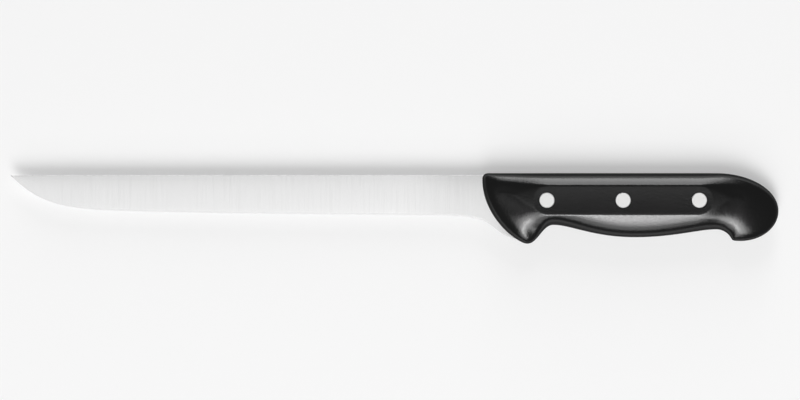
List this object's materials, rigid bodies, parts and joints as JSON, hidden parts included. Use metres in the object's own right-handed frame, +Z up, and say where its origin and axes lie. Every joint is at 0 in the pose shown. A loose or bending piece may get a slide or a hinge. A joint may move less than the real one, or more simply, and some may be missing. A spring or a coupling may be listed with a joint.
{
  "type": "ham knife",
  "caption": "Long slim slicing knife for ham: straight-spined steel blade with a curved tip, in a black riveted handle with a finger guard, belly and hooked butt.",
  "frame": {"origin": "centre of the bounding box in plan, on the plane of the lower side panel, which the knife lies on", "axes": "+X from the tip to the butt, +Y towards the spine, +Z up through the sides of the blade and the handle"},
  "size_m": [0.342, 0.0316, 0.016],
  "materials": {
    "blade_steel": "fine ground across the blade, with a polished edge",
    "handle_plastic": "black moulded polypropylene, satin with a fine grain",
    "rivet_metal": "satin, ground flush with the panel"
  },
  "bodies": {
    "root": {"blade": "blade_steel", "left_scale": "handle_plastic", "right_scale": "handle_plastic", "rivet_sleeve_front": "rivet_metal", "rivet_pin_front": "rivet_metal", "rivet_sleeve_middle": "rivet_metal", "rivet_pin_middle": "rivet_metal", "rivet_sleeve_rear": "rivet_metal", "rivet_pin_rear": "rivet_metal"}
  },
  "joints": []
}
